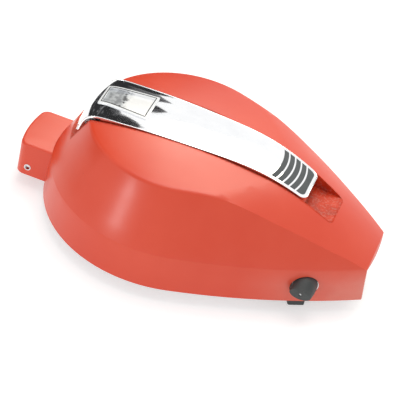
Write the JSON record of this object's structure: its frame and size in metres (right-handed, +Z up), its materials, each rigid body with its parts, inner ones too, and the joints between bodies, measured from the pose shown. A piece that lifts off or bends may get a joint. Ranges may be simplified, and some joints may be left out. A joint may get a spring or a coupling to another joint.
{
  "type": "fuel tank",
  "caption": "Teardrop fuel tank shell with domed top and sloping tail, chrome hinged strip lid over a bay with filler, front pivot lug and low side tap knob.",
  "frame": {"origin": "middle of the front pivot bore, on the tank's plane of symmetry", "axes": "+X to the tail, +Y to the left side away from the tap, +Z up"},
  "size_m": [0.3676, 0.25, 0.1224],
  "materials": {
    "body_paint": "satin vermilion paint",
    "bright_chrome": "mirror chrome plate",
    "badge_metal": "blank brushed plate",
    "grip_rubber": "matt dark grey",
    "knob_plastic": "fine moulded dark grey",
    "zinc_steel": "dull zinc plate",
    "bright_steel": "bright turned steel",
    "cast_zinc": "die-cast zinc",
    "brass": "turned brass",
    "neck_steel": "pressed bright steel",
    "black_rubber": "black rubber"
  },
  "bodies": {
    "tank": {"tank_shell": "body_paint", "lid_tray": "body_paint", "front_lug": "body_paint", "tap_bowl": "knob_plastic", "bottom_pan": "zinc_steel", "front_baffle": "zinc_steel", "rear_baffle": "zinc_steel", "hinge_bracket": "zinc_steel", "rear_bracket": "zinc_steel", "drain_tube": "zinc_steel", "lug_bushes": "bright_steel", "hinge_pin": "bright_steel", "hinge_clips": "bright_steel", "rear_studs": "bright_steel", "tap_body": "cast_zinc", "fuel_outlet": "cast_zinc", "tap_nut": "brass", "standpipe": "brass", "strainer": "brass", "filler_neck": "neck_steel", "tunnel_pads": "black_rubber", "lid_buffers": "black_rubber", "spindle_seal": "black_rubber", "tap_gasket": "black_rubber", "bowl_seal": "black_rubber", "rear_cushion": "black_rubber"},
    "lid": {"console_lid": "bright_chrome", "badge_frame": "bright_chrome", "badge_plate": "badge_metal", "grip_inlays": "grip_rubber", "hinge_arms": "zinc_steel"},
    "cap": {"filler_cap": "cast_zinc", "cap_gasket": "black_rubber", "cap_latch": "cast_zinc", "cap_spring": "bright_steel", "cap_vent": "black_rubber"},
    "tap": {"tap_knob": "knob_plastic", "tap_spindle": "brass", "knob_screw": "bright_steel"}
  },
  "joints": [
    {"name": "lid_hinge", "type": "hinge", "parent": "tank", "child": "lid", "pos_m": [0.05325, 0, 0.0765], "axis": [0, -1, 0], "range_deg": [0, 70]},
    {"name": "cap_turn", "type": "hinge", "parent": "tank", "child": "cap", "pos_m": [0.15075, 0, 0.0655], "axis": [0, 0, 1], "range_deg": [0, 90]},
    {"name": "tap_turn", "type": "hinge", "parent": "tank", "child": "tap", "pos_m": [0.29975, -0.06, 0.00825], "axis": [0, -1, 0], "range_deg": [-90, 90]}
  ]
}
